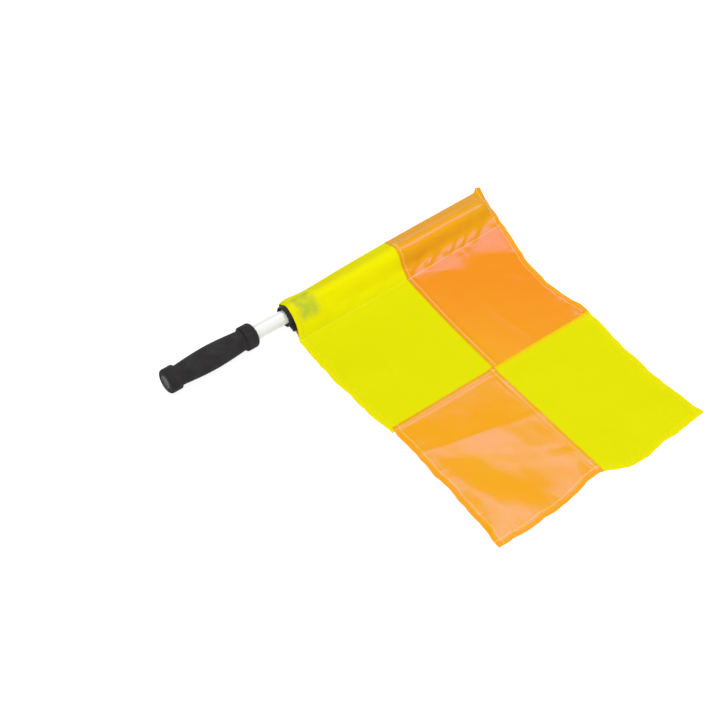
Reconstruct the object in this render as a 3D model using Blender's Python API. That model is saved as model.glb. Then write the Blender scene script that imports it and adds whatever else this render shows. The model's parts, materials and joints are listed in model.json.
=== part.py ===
"""Assistant referee's flag: a checked cloth on a white tube with a black foam grip, laid on a table.

Metres, +Z up. The flag lies on the plane z = 0. The pole runs along +X from its butt to its tip, the cloth
spreads towards -Y, and the origin is under the middle of the whole flag.
"""
import math

import bmesh
import bpy
from mathutils import Matrix, Vector

MM = 0.001

# Pole
TUBE_DIAMETER = 20.0 * MM
TUBE_WALL = 1.8 * MM
BARE_TUBE = 53.5 * MM
TIP_ROOM = 6.0 * MM
FIT_GAP = 0.3 * MM

# Foam grip
GRIP_LENGTH = 143.5 * MM
FLARE_DIAMETER = 35.5 * MM
FLARE_WIDTH = 18.0 * MM
FLARE_STEP = 3.0 * MM
NECK_DIAMETER = 29.0 * MM
BELLY_DIAMETER = 35.0 * MM
BUTT_EDGE_RADIUS = 3.5 * MM
UPPER_EDGE_RADIUS = 5.0 * MM
STEP_EDGE_RADIUS = 1.5 * MM

# Plug in the butt end and cap on the tip
PLUG_HEAD = 2.5 * MM
PLUG_EDGE_RADIUS = 0.8 * MM
PLUG_RIM = 2.0 * MM
PLUG_RIM_SLOPE = 1.0 * MM
PLUG_DISH = 0.8 * MM
PLUG_STEM = 24.0 * MM
PLUG_LEAD_IN = 2.0 * MM
PLUG_LEAD_DEPTH = 0.8 * MM
CAP_LENGTH = 40.0 * MM
CAP_WALL = 2.0 * MM
CAP_END = 2.5 * MM
CAP_EDGE_RADIUS = 2.5 * MM

# Hook and loop tape at the mouth of the sleeve
TAPE_WIDTH = 50.0 * MM
TAPE_THICKNESS = 2.2 * MM
TAPE_TAIL_WIDTH = 10.5 * MM
TAPE_TAIL_EDGE = 2.0 * MM
TAPE_TAIL_DROP = math.radians(16)
TAPE_SHOWS = 5.0 * MM

# Cloth, cut as four checks
HOIST_WIDTH = 350.0 * MM
STITCH_OFFSET = 37.0 * MM
HOIST_CHECK = 194.0 * MM
FLY_CHECK = 232.0 * MM
CLOTH_THICKNESS = 0.6 * MM
LAYER_GAP = 0.4 * MM
SEAM_LAP = 6.0 * MM
LAP_CLEARANCE = 2.0 * MM
LAP_EASE = 7.0 * MM
SLEEVE_HEM = 7.0 * MM
HEM_CLEARANCE = 1.0 * MM
HEM_EASE = 12.0 * MM
FOLDS_START = 28.0 * MM
SLEEVE_SEAM_FLAT = 18.0 * MM
SLEEVE_SEAM_EASE = 18.0 * MM

# How the sleeve lies over the pole
FOLD_REACH = 35.0 * MM
FOLD_REACH_AT_END = 41.0 * MM
FOLD_HEIGHT = 4.6 * MM
FOLD_NOSE = 3.0 * MM
END_NOSE = 0.9 * MM
FLAT_SHARE = 0.55
LEAST_FOLD = 0.1
FOLD_START = 6.0 * MM
FOLD_SPREAD = 48.0 * MM
TAPE_TAPER = 25.0 * MM

# Where the cut edges and seams stray from straight lines, as (share of the way, distance).
# Across the sleeve the way runs from its stitch line to the fold at its closed end. On a check it runs from the
# hoist side to the fly side.
SLEEVE_LEFT = ((0.0, -3 * MM), (0.45, 0.0), (0.93, 1 * MM))
SLEEVE_MIDDLE = ((0.0, 7 * MM), (0.45, 13 * MM), (0.93, 21 * MM))
SLEEVE_RIGHT = ((0.0, 2 * MM), (0.45, 9 * MM), (1.0, 24 * MM))
HOIST_LEFT = ((0.0, -3 * MM), (0.25, -7 * MM), (0.6, -6 * MM), (1.0, -2 * MM))
HOIST_MIDDLE = ((0.0, 7 * MM), (1.0, 1 * MM))
HOIST_RIGHT = ((0.0, 2 * MM), (0.25, -8 * MM), (0.5, -16 * MM), (0.8, -13 * MM), (1.0, -5 * MM))
FLY_LEFT = ((0.0, 4 * MM), (0.3, 1 * MM), (0.65, 0.0), (1.0, -5 * MM))
FLY_MIDDLE = ((0.0, 1 * MM), (1.0, 5 * MM))
FLY_RIGHT = ((0.0, -5 * MM), (0.35, -10 * MM), (0.75, -8 * MM), (1.0, 0.0))
FLY_EDGE = ((0.0, -3 * MM), (0.23, -2 * MM), (0.4, 6 * MM), (0.5, 12 * MM), (0.58, -2 * MM), (0.8, -1 * MM),
            (1.0, 4 * MM))

# Main folds of the cloth on the table: from and to, as shares of the hoist's width and of the cloth below the
# stitch line, then the fold's half width and its height.
FOLDS = (
    ((0.00, 0.55), (0.50, 0.64), 22 * MM, 2.4 * MM),
    ((0.38, 0.85), (0.25, 0.98), 34 * MM, 4.0 * MM),
    ((0.95, 0.20), (1.00, 0.32), 22 * MM, 6.0 * MM),
    ((0.69, 0.06), (0.97, 0.12), 13 * MM, 1.6 * MM),
    ((0.00, 0.20), (0.19, 0.28), 26 * MM, 3.6 * MM),
    ((0.00, 0.95), (0.10, 0.97), 24 * MM, 3.6 * MM),
    ((0.74, 0.84), (0.98, 0.94), 26 * MM, 4.2 * MM),
    ((0.64, 0.70), (0.88, 0.79), 26 * MM, 2.4 * MM),
)

# Mesh steps
TURN_STEPS = 40
ARC_STEPS = 3
BELLY_STEPS = 10
LEFT_COLUMNS = (0.0, 0.07, 0.16, 0.27, 0.39, 0.52, 0.66, 0.8, 0.92)
RIGHT_COLUMNS = (0.14, 0.25, 0.37, 0.5, 0.63, 0.76, 0.89)
HOIST_ROWS = (0.17, 0.28, 0.4, 0.53, 0.66, 0.8, 0.92)
FLY_ROWS = (0.12, 0.22, 0.34, 0.46, 0.58, 0.7, 0.81, 0.91, 1.0)
BOTTOM_STEPS = 7
NOSE_STEPS = 10
TOP_STEPS = (4, 10, 6)

# Sizes that follow from those above
MOUTH_X = GRIP_LENGTH + BARE_TUBE
POLE_LENGTH = MOUTH_X + HOIST_WIDTH - TIP_ROOM
TUBE_RADIUS = TUBE_DIAMETER / 2
TUBE_BORE = TUBE_RADIUS - TUBE_WALL
CAP_RADIUS = TUBE_RADIUS + FIT_GAP + CAP_WALL
HOOK_INNER = TUBE_RADIUS + FIT_GAP
HOOK_OUTER = HOOK_INNER + TAPE_THICKNESS
LOOP_INNER = max(HOOK_OUTER, CAP_RADIUS) + FIT_GAP
LOOP_OUTER = LOOP_INNER + TAPE_THICKNESS
LAYER_STEP = CLOTH_THICKNESS + LAYER_GAP
LAP_FLAT = SEAM_LAP + LAP_CLEARANCE
FLOOR_LAYER = CLOTH_THICKNESS / 2
SLEEVE_RADIUS = CAP_RADIUS + FIT_GAP + CLOTH_THICKNESS / 2
MOUTH_RADIUS = LOOP_OUTER + FIT_GAP + CLOTH_THICKNESS / 2
TAPE_X = MOUTH_X + SLEEVE_LEFT[-1][1] - TAPE_SHOWS
CROSS_SEAM_Y = -STITCH_OFFSET - HOIST_CHECK
FLY_EDGE_Y = CROSS_SEAM_Y - FLY_CHECK
CLOTH_BELOW_STITCH = HOIST_CHECK + FLY_CHECK

# The pole rests on the grip's upper flare and, through the cloth, on its tip cap
REST_X = GRIP_LENGTH - FLARE_WIDTH / 2
REST_HEIGHT = FLARE_DIAMETER / 2
TIP_HEIGHT = CLOTH_THICKNESS + FIT_GAP + CAP_RADIUS
TIP_X = POLE_LENGTH - CAP_EDGE_RADIUS
POLE_TILT = math.atan((REST_HEIGHT - TIP_HEIGHT) / (TIP_X - REST_X))

# The origin is under the middle of the whole flag
ORIGIN_X = (MOUTH_X + HOIST_WIDTH + SLEEVE_RIGHT[-1][1]) / 2
ORIGIN_Y = (FOLD_REACH_AT_END + FLY_EDGE_Y + FLY_EDGE[0][1]) / 2
ORIGIN = Vector((ORIGIN_X, ORIGIN_Y, 0.0))


def material(name, colour, roughness, metallic=0.0):
    made = bpy.data.materials.new(name)
    made.use_nodes = True
    shader = made.node_tree.nodes["Principled BSDF"]
    shader.inputs["Base Color"].default_value = (*colour, 1.0)
    shader.inputs["Roughness"].default_value = roughness
    shader.inputs["Metallic"].default_value = metallic
    made.diffuse_color = (*colour, 1.0)
    return made


def finish_mesh(name, bm, look, smooth_angle=35.0):
    """Turns a bmesh into a named object with outward faces and its own material."""
    bmesh.ops.recalc_face_normals(bm, faces=bm.faces)
    mesh = bpy.data.meshes.new(name)
    bm.to_mesh(mesh)
    bm.free()
    mesh.materials.append(look)
    mesh.shade_smooth()
    mesh.set_sharp_from_angle(angle=math.radians(smooth_angle))
    made = bpy.data.objects.new(name, mesh)
    bpy.context.scene.collection.objects.link(made)
    return made


def corner(x, r, radius, start, end, steps=ARC_STEPS):
    """Points of a round corner about (x, r), from one angle to another, in degrees."""
    angles = [math.radians(start + (end - start) * i / steps) for i in range(steps + 1)]
    return [(x + radius * math.cos(a), r + radius * math.sin(a)) for a in angles]


def turned(name, profile, look, parent):
    """Spins a closed profile of (distance along the pole, radius) once round the pole's axis."""
    bm = bmesh.new()
    verts = [bm.verts.new((x, 0.0, r)) for x, r in profile]
    edges = [bm.edges.new((a, b)) for a, b in zip(verts, verts[1:] + verts[:1])]
    bmesh.ops.spin(bm, geom=verts + edges, cent=(0, 0, 0), axis=(1, 0, 0), angle=math.tau,
                   steps=TURN_STEPS, use_merge=True)
    made = finish_mesh(name, bm, look)
    made.parent = parent
    return made


def disc(name, profile, look, parent):
    """Spins an open profile, whose two ends lie on the axis, and closes it there."""
    bm = bmesh.new()
    inner = profile[1:-1]
    rings = []
    for i in range(TURN_STEPS):
        turn = Matrix.Rotation(math.tau * i / TURN_STEPS, 3, "X")
        rings.append([bm.verts.new(turn @ Vector((x, 0.0, r))) for x, r in inner])
    for ring, following in zip(rings, rings[1:] + rings[:1]):
        for i in range(len(inner) - 1):
            bm.faces.new((ring[i], ring[i + 1], following[i + 1], following[i]))
    for end, x in ((0, profile[0][0]), (-1, profile[-1][0])):
        pole = bm.verts.new((x, 0.0, 0.0))
        for ring, following in zip(rings, rings[1:] + rings[:1]):
            bm.faces.new((ring[end], following[end], pole))
    made = finish_mesh(name, bm, look)
    made.parent = parent
    return made


def curve_through(points, share):
    """The height at one share of the way on a smooth curve through a few points."""
    if share <= points[0][0]:
        return points[0][1]
    if share >= points[-1][0]:
        return points[-1][1]
    slopes = []
    for i in range(len(points)):
        before, after = points[max(i - 1, 0)], points[min(i + 1, len(points) - 1)]
        slopes.append((after[1] - before[1]) / (after[0] - before[0]))
    for i in range(len(points) - 1):
        (a, low), (b, high) = points[i], points[i + 1]
        if share <= b:
            step, t = b - a, (share - a) / (b - a)
            return (low * (1 + 2 * t) * (1 - t) ** 2 + slopes[i] * step * t * (1 - t) ** 2
                    + high * t * t * (3 - 2 * t) - slopes[i + 1] * step * t * t * (1 - t))


def ease(value, start, end):
    """0 before start, 1 after end, and a smooth step between them."""
    t = min(max((value - start) / (end - start), 0.0), 1.0)
    return t * t * (3 - 2 * t)


def mix(a, b, share):
    return a + (b - a) * share


def axis_height(x):
    """Height of the pole's axis above the table."""
    return REST_HEIGHT - (x - REST_X) * math.tan(POLE_TILT)


def edge_x(y, sleeve, hoist, fly):
    """How far an edge or seam that crosses the flag strays at y."""
    if y > -STITCH_OFFSET:
        return curve_through(sleeve, (y + STITCH_OFFSET) / (FOLD_REACH_AT_END + STITCH_OFFSET))
    if y > CROSS_SEAM_Y or fly is None:
        return curve_through(hoist, (-y - STITCH_OFFSET) / HOIST_CHECK)
    return curve_through(fly, (CROSS_SEAM_Y - y) / FLY_CHECK)


def left_x(y, on_fly):
    if on_fly:
        return MOUTH_X + curve_through(FLY_LEFT, (CROSS_SEAM_Y - y) / FLY_CHECK)
    return MOUTH_X + edge_x(y, SLEEVE_LEFT, HOIST_LEFT, None)


def middle_x(y):
    return MOUTH_X + HOIST_WIDTH / 2 + edge_x(y, SLEEVE_MIDDLE, HOIST_MIDDLE, FLY_MIDDLE)


def right_x(y):
    return MOUTH_X + HOIST_WIDTH + edge_x(y, SLEEVE_RIGHT, HOIST_RIGHT, FLY_RIGHT)


def fold_lift(x, y):
    """Height that the main folds add to the flat cloth at one point of the table."""
    lift = 0.0
    for (u0, v0), (u1, v1), half_width, height in FOLDS:
        start = Vector((MOUTH_X + u0 * HOIST_WIDTH, -STITCH_OFFSET - v0 * CLOTH_BELOW_STITCH))
        end = Vector((MOUTH_X + u1 * HOIST_WIDTH, -STITCH_OFFSET - v1 * CLOTH_BELOW_STITCH))
        along = end - start
        t = min(max((Vector((x, y)) - start).dot(along) / along.length_squared, 0.0), 1.0)
        away = (Vector((x, y)) - start - along * t).length
        lift += height * math.exp(-((away / half_width) ** 2))
    return lift


def laid_height(x, y):
    """Middle of the cloth where it lies flat: over the sleeve's hem, then down to the table."""
    past_hem = SLEEVE_HEM + HEM_CLEARANCE
    over_hem = 1 - ease(-y - STITCH_OFFSET, past_hem, past_hem + HEM_EASE)
    clear_of_hem = ease(-y - STITCH_OFFSET, 0.0, FOLDS_START)
    return FLOOR_LAYER + LAYER_STEP * over_hem + fold_lift(x, y) * clear_of_hem


def over_pole(start, leaving, end, centre, radius):
    """A layer pulled taut over the round pole: straight to it from the fold, whose side it leaves at the angle
    leaving, round its top, and straight down to the stitches."""
    down = end - centre
    last = math.atan2(down.y, down.x) % math.tau - math.acos(radius / down.length)
    lead, arc, tail = TOP_STEPS
    angles = [mix(leaving, last, i / arc) for i in range(arc + 1)]
    top = [centre + radius * Vector((math.cos(a), math.sin(a))) for a in angles]
    return ([start.lerp(top[0], i / lead) for i in range(lead)] + top
            + [top[-1].lerp(end, i / tail) for i in range(1, tail + 1)])


def layers(end_y, low_z, turn, above):
    """One section of the sleeve as (y, z): its lower layer from the hem to the turn, the turn and the rest."""
    hem = -STITCH_OFFSET - SLEEVE_HEM
    below = []
    for i in range(BOTTOM_STEPS + 1):
        share = i / BOTTOM_STEPS
        below.append(Vector((mix(hem, end_y, share), mix(FLOOR_LAYER, low_z, ease(share, FLAT_SHARE, 1.0)))))
    return below + turn + above


def fold_turn(centre, radius, leaving=math.pi / 2):
    """The turn at the sleeve's fold, from its lowest point to the angle leaving, without these two."""
    lowest = -math.pi / 2
    angles = [mix(lowest, leaving, i / NOSE_STEPS) for i in range(1, NOSE_STEPS)]
    return [centre + radius * Vector((math.cos(a), math.sin(a))) for a in angles]


def sleeve_section(x):
    """The sleeve at one x: round the tape at its mouth, and from there on with a fold that lies beside the pole."""
    over_tape = 1 - ease(x, TAPE_X + TAPE_WIDTH, TAPE_X + TAPE_WIDTH + TAPE_TAPER)
    folded = mix(LEAST_FOLD, 1.0, ease(x, MOUTH_X + FOLD_START, MOUTH_X + FOLD_START + FOLD_SPREAD))
    centre = Vector((0.0, axis_height(x)))
    radius = mix(SLEEVE_RADIUS, MOUTH_RADIUS, over_tape)
    nose = mix(radius, FOLD_NOSE, folded)
    fold = centre.lerp(Vector((FOLD_REACH - FOLD_NOSE, FOLD_HEIGHT)), folded)
    towards = fold - centre
    leaving = math.atan2(towards.y, towards.x) + math.acos((radius - nose) / towards.length)
    start = fold + nose * Vector((math.cos(leaving), math.sin(leaving)))
    stitches = Vector((-STITCH_OFFSET, FLOOR_LAYER + LAYER_STEP))
    above = over_pole(start, leaving, stitches, centre, radius)
    section = layers(fold.x, fold.y - nose, fold_turn(fold, nose, leaving), above)
    seam = 1 - ease(abs(x - middle_x(0.0)), SLEEVE_SEAM_FLAT, SLEEVE_SEAM_FLAT + SLEEVE_SEAM_EASE)
    for point in section[:BOTTOM_STEPS + 1]:
        room = 1 - ease(point.x, 0.0, fold.x + FIT_GAP)
        point.y += LAYER_STEP * seam * room * ease(point.x, -STITCH_OFFSET, -STITCH_OFFSET + HEM_EASE)
    return section


def closed_section():
    """The sleeve's layers where its far end is sewn shut: flat on each other, out to their full width."""
    fold = Vector((FOLD_REACH_AT_END - END_NOSE, FLOOR_LAYER + END_NOSE))
    stitches = Vector((-STITCH_OFFSET, FLOOR_LAYER + LAYER_STEP))
    upper = fold + Vector((0.0, END_NOSE))
    above = [upper.lerp(stitches, i / sum(TOP_STEPS)) for i in range(sum(TOP_STEPS) + 1)]
    return layers(fold.x, FLOOR_LAYER, fold_turn(fold, END_NOSE), above)


def closing(x, y):
    """0 over the pole, and 1 at the edge where the sleeve's far end is sewn shut."""
    return ease(x, POLE_LENGTH + FIT_GAP, right_x(y))


def columns(on_right, y, on_fly):
    """The x places of a check's columns at y, with the lap of its mid seam."""
    seam = middle_x(y)
    if on_right:
        first = [seam, seam + LAP_FLAT, seam + LAP_FLAT + LAP_EASE]
        if on_fly:
            first = [seam - SEAM_LAP] + first
        at_sleeve = max(y, -STITCH_OFFSET)
        tip_share = (POLE_LENGTH + FIT_GAP - middle_x(at_sleeve)) / (right_x(at_sleeve) - middle_x(at_sleeve))
        tip, end = mix(seam, right_x(y), tip_share), right_x(y)
        return first + [mix(seam, tip, share) for share in RIGHT_COLUMNS] + [tip, mix(tip, end, 0.5), end]
    last = [seam - LAP_FLAT, seam]
    if not on_fly:
        last.append(seam + SEAM_LAP)
    return [mix(left_x(y, on_fly), seam, share) for share in LEFT_COLUMNS] + last


def raised_right(x, y):
    """1 where the right hoist check lies on the left one's seam allowance, 0 away from it."""
    return 1 - ease(x - middle_x(y), LAP_FLAT, LAP_FLAT + LAP_EASE)


def raised_left(x, y):
    """1 where the left fly check lies on the right one's seam allowance, 0 away from it."""
    return 1 - ease(middle_x(y) - x, LAP_FLAT, LAP_FLAT + LAP_EASE)


def raised_fly(y):
    """1 where a fly check lies on the hoist check's seam allowance, 0 away from it."""
    return 1 - ease(CROSS_SEAM_Y - y, LAP_FLAT, LAP_FLAT + LAP_EASE)


def cloth(name, grid, look):
    """A sheet of cloth through a grid of points, given its thickness by Solidify."""
    bm = bmesh.new()
    rows = [[bm.verts.new(point - ORIGIN) for point in row] for row in grid]
    for row, following in zip(rows, rows[1:]):
        for a, b, c, d in zip(row, row[1:], following[1:], following):
            bm.faces.new((a, b, c, d))
    mesh = bpy.data.meshes.new(name)
    bm.to_mesh(mesh)
    bm.free()
    mesh.materials.append(look)
    mesh.shade_smooth()
    made = bpy.data.objects.new(name, mesh)
    bpy.context.scene.collection.objects.link(made)
    thicken = made.modifiers.new("thickness", "SOLIDIFY")
    thicken.thickness = CLOTH_THICKNESS
    thicken.offset = 0.0
    thicken.use_even_offset = True
    return made


def hoist_check(name, on_right, look):
    """A hoist check in one piece with its half of the sleeve: hem, lower layer, fold, upper layer and rest."""
    closed = closed_section()
    guide = columns(on_right, -STITCH_OFFSET, False)
    grid = []
    for j in range(len(closed)):
        row = []
        for i, guide_x in enumerate(guide):
            open_y = sleeve_section(min(guide_x, POLE_LENGTH))[j].x
            y = mix(open_y, closed[j].x, closing(guide_x, -STITCH_OFFSET))
            x = columns(on_right, y, False)[i]
            section = sleeve_section(min(x, POLE_LENGTH))
            before, after = section[max(j - 1, 0)], section[min(j + 1, len(section) - 1)]
            along = (after - before).normalized()
            levels = raised_right(x, y) if on_right else 0.0
            place = section[j] + Vector((along.y, -along.x)) * LAYER_STEP * levels
            place = place.lerp(closed[j], closing(x, y))
            row.append(Vector((x, place.x, place.y)))
        grid.append(row)
    for share in HOIST_ROWS + (1.0,):
        grid.append(flat_row(-STITCH_OFFSET - share * HOIST_CHECK, on_right, False))
    grid.append(flat_row(CROSS_SEAM_Y - SEAM_LAP, on_right, False))
    return cloth(name, grid, look)


def flat_row(y, on_right, on_fly):
    """One row of points across a check where it lies on the table."""
    row = []
    for x in columns(on_right, y, on_fly):
        levels = 0.0
        if on_right and not on_fly:
            levels = raised_right(x, y)
        elif on_right:
            levels = raised_fly(y) * (1 + raised_right(x, y))
        elif on_fly:
            levels = raised_fly(y) * (1 + raised_left(x, y)) + raised_left(x, y)
        row.append(Vector((x, y, laid_height(x, y) + LAYER_STEP * levels)))
    return row


def fly_check(name, on_right, look):
    """A fly check: a flat cloth from the cross seam to the fly edge, whose line it follows."""
    places = [CROSS_SEAM_Y, CROSS_SEAM_Y - LAP_FLAT, CROSS_SEAM_Y - LAP_FLAT - LAP_EASE]
    places += [CROSS_SEAM_Y - share * FLY_CHECK for share in FLY_ROWS]
    grid = []
    for y in places:
        row = flat_row(y, on_right, True)
        pull = ease(CROSS_SEAM_Y - y, FLY_CHECK / 2, FLY_CHECK)
        for point in row:
            across = (point.x - MOUTH_X) / HOIST_WIDTH
            point.y += pull * curve_through(FLY_EDGE, across)
        grid.append(row)
    return cloth(name, grid, look)


def grip_profile():
    """Foam grip: a flare at each end, a step down to a neck and a swell for the palm between them."""
    flare, neck, belly = FLARE_DIAMETER / 2, NECK_DIAMETER / 2, BELLY_DIAMETER / 2
    bore = TUBE_RADIUS + FIT_GAP
    low_step, high_step = FLARE_WIDTH, GRIP_LENGTH - FLARE_WIDTH
    outline = [(0.0, bore)]
    outline += corner(BUTT_EDGE_RADIUS, flare - BUTT_EDGE_RADIUS, BUTT_EDGE_RADIUS, 180, 90)
    outline += corner(low_step - STEP_EDGE_RADIUS, flare - STEP_EDGE_RADIUS, STEP_EDGE_RADIUS, 90, 0, 2)
    first, last = low_step + FLARE_STEP / 2, high_step - FLARE_STEP
    for i in range(BELLY_STEPS + 1):
        share = i / BELLY_STEPS
        outline.append((mix(first, last, share), mix(neck, belly, math.sin(math.pi * share) ** 1.15)))
    outline += corner(high_step + STEP_EDGE_RADIUS, flare - STEP_EDGE_RADIUS, STEP_EDGE_RADIUS, 180, 90, 2)
    outline += corner(GRIP_LENGTH - UPPER_EDGE_RADIUS, flare - UPPER_EDGE_RADIUS, UPPER_EDGE_RADIUS, 90, 0)
    outline.append((GRIP_LENGTH, bore))
    return outline


def plug_profile():
    """Butt plug: a dished head as wide as the tube, and a hollow stem that grips the tube's bore."""
    stem = TUBE_BORE - FIT_GAP
    wall = stem - TUBE_WALL
    end = PLUG_HEAD + PLUG_STEM
    rim = TUBE_RADIUS - PLUG_RIM
    outer = [(PLUG_DISH, 0.0), (PLUG_DISH, rim - PLUG_RIM_SLOPE), (0.0, rim)]
    outer += corner(PLUG_EDGE_RADIUS, TUBE_RADIUS - PLUG_EDGE_RADIUS, PLUG_EDGE_RADIUS, 180, 90, 2)
    outer += [(PLUG_HEAD, TUBE_RADIUS), (PLUG_HEAD, stem)]
    outer += [(end - PLUG_LEAD_IN, stem), (end, stem - PLUG_LEAD_DEPTH)]
    return outer + [(end, wall), (PLUG_HEAD, wall), (PLUG_HEAD, 0.0)]


def cap_profile():
    """Tip cap: a sleeve over the tube's end with a round-edged flat end wall."""
    start, bore = POLE_LENGTH - CAP_LENGTH, TUBE_RADIUS + FIT_GAP
    inner_end = POLE_LENGTH - CAP_END
    outer = [(inner_end, 0.0), (inner_end, bore), (start, bore), (start, CAP_RADIUS - CAP_WALL / 3)]
    outer.append((start + CAP_WALL, CAP_RADIUS))
    outer += corner(POLE_LENGTH - CAP_EDGE_RADIUS, CAP_RADIUS - CAP_EDGE_RADIUS, CAP_EDGE_RADIUS, 90, 0)
    return outer + [(POLE_LENGTH, 0.0)]


def ring_profile(start, end, inner, outer):
    return [(start, inner), (end, inner), (end, outer), (start, outer)]


def tape_tail(look, parent):
    """The two ends of the loop tape, pinched together where they are sewn in beside the ring."""
    bm = bmesh.new()
    start = -LOOP_OUTER - FIT_GAP
    end, bevel = start - TAPE_TAIL_WIDTH, TAPE_TAIL_EDGE / 4
    outline = [(start, -TAPE_THICKNESS), (start, TAPE_THICKNESS)]
    outline += [(end + bevel, 2 * bevel), (end, bevel), (end, -bevel), (end + bevel, -2 * bevel)]
    verts = [bm.verts.new((TAPE_X, y, z)) for y, z in outline]
    face = bm.faces.new(verts)
    pushed = bmesh.ops.extrude_face_region(bm, geom=[face])
    moved = [item for item in pushed["geom"] if isinstance(item, bmesh.types.BMVert)]
    bmesh.ops.translate(bm, verts=moved, vec=(TAPE_WIDTH, 0.0, 0.0))
    made = finish_mesh("loop_tape_tail", bm, look)
    made.rotation_euler.x = TAPE_TAIL_DROP
    made.parent = parent
    return made


def build():
    for old in list(bpy.data.objects):
        bpy.data.objects.remove(old, do_unlink=True)
    white = material("white_tube", (0.82, 0.82, 0.78), 0.28)
    foam = material("black_foam", (0.022, 0.020, 0.020), 0.85)
    plastic = material("black_plastic", (0.03, 0.028, 0.028), 0.45)
    tape = material("black_tape", (0.02, 0.018, 0.02), 0.9)
    yellow = material("yellow_cloth", (0.84, 0.82, 0.01), 0.6)
    orange = material("orange_cloth", (0.95, 0.32, 0.015), 0.4)

    pole = bpy.data.objects.new("pole_axis", None)
    bpy.context.scene.collection.objects.link(pole)
    lean = Matrix.Rotation(POLE_TILT, 4, "Y")
    rest = Vector((REST_X, 0.0, REST_HEIGHT)) - ORIGIN
    pole.matrix_world = Matrix.Translation(rest) @ lean @ Matrix.Translation((-REST_X, 0.0, 0.0))

    tube_end = POLE_LENGTH - CAP_END - FIT_GAP
    turned("pole_tube", ring_profile(PLUG_HEAD + FIT_GAP, tube_end, TUBE_BORE, TUBE_RADIUS), white, pole)
    turned("foam_grip", grip_profile(), foam, pole)
    disc("butt_plug", plug_profile(), plastic, pole)
    disc("tip_cap", cap_profile(), plastic, pole)
    hook_x = TAPE_X + TAPE_SHOWS
    turned("hook_tape_ring", ring_profile(hook_x, hook_x + TAPE_WIDTH, HOOK_INNER, HOOK_OUTER), tape, pole)
    turned("loop_tape_ring", ring_profile(TAPE_X, TAPE_X + TAPE_WIDTH, LOOP_INNER, LOOP_OUTER), tape, pole)
    tape_tail(tape, pole)

    hoist_check("yellow_hoist_check", False, yellow)
    hoist_check("orange_hoist_check", True, orange)
    fly_check("orange_fly_check", False, orange)
    fly_check("yellow_fly_check", True, yellow)


build()
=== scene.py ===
"""Assistant referee's flag laid on a pale table: its cloth, its finishes, the light and the camera.

Table coordinates below are metres from the point under the pole's butt: x along the pole, y away from the
cloth's free edge, z up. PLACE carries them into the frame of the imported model.
"""
import json
import math

import bmesh
import bpy
import numpy as np
from mathutils import Matrix, Vector


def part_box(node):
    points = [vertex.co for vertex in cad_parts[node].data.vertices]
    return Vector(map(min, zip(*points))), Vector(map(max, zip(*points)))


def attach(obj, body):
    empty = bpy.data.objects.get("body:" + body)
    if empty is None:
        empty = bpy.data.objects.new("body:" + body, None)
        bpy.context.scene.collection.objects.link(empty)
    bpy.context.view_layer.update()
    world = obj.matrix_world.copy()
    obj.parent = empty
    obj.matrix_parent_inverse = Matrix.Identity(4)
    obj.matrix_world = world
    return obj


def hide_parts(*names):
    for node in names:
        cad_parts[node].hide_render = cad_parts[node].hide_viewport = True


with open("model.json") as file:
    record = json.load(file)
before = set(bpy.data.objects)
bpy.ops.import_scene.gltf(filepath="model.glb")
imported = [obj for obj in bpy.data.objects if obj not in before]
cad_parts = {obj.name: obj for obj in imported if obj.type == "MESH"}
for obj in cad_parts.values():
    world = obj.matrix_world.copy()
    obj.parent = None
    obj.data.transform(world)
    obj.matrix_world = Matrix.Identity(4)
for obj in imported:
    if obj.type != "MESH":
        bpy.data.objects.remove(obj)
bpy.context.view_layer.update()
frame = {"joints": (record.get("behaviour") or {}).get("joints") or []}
MM = 0.001

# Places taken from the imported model
TURN = next(joint for joint in frame["joints"] if joint["name"] == "flag_turn")
AXIS = Vector(TURN["axis"]).normalized()
AXIS_POINT = Vector(TURN["pos_m"])
LEAN = math.asin(-AXIS.z)
TUBE_LOW, TUBE_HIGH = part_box("pole_tube")
TUBE_RADIUS = (TUBE_HIGH.y - TUBE_LOW.y) / 2
BUTT_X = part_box("butt_plug")[0].x
TIP_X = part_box("tip_cap")[1].x - BUTT_X
PLACE = Vector((BUTT_X, AXIS_POINT.y, 0.0))

# Sizes of the pole's pieces
FIT_GAP = 0.3 * MM
TUBE_WALL = 1.8 * MM
GRIP_LENGTH = 143.5 * MM
FLARE_RADIUS = 17.75 * MM
FLARE_WIDTH = 18 * MM
NECK_RADIUS = 14.5 * MM
BELLY_RADIUS = 17.5 * MM
PLUG_LIP = 2.5 * MM
PLUG_LENGTH = 26.5 * MM
PLUG_WALL = 1.8 * MM
CAP_LENGTH = 40 * MM
CAP_FACE = 2.5 * MM
CAP_EDGE = 2.5 * MM
CAP_WALL = 2 * MM
CAP_RADIUS = TUBE_RADIUS + FIT_GAP + CAP_WALL
TAPE_WIDTH = 50 * MM
TAPE_THICKNESS = 2.2 * MM
TAPE_SHOWS = 7 * MM
TAIL_TURN = math.radians(16)
HOOK_INNER = TUBE_RADIUS + FIT_GAP
HOOK_OUTER = HOOK_INNER + TAPE_THICKNESS
LOOP_INNER = max(HOOK_OUTER, CAP_RADIUS) + FIT_GAP
LOOP_OUTER = LOOP_INNER + TAPE_THICKNESS

# Sizes of the cloth
MOUTH_X = 197 * MM
HOIST_WIDTH = 350 * MM
CHECK_WIDTH = HOIST_WIDTH / 2
STITCH_Y = -37 * MM
CROSS_Y = STITCH_Y - 194 * MM
FLY_Y = CROSS_Y - 232 * MM
SLEEVE_HEM = 7 * MM
CLOTH_THICKNESS = 0.22 * MM
LAYER = 0.3 * MM
FLOOR_LAYER = 0.15 * MM
TABLE_GAP = 0.12 * MM
HAIR_GAP = 0.02 * MM
SETTLE_WIDTH = 3 * MM
HEM = 8.5 * MM
SEAM_ALLOWANCE = 7 * MM
TOPSTITCH = 4.6 * MM

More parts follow.
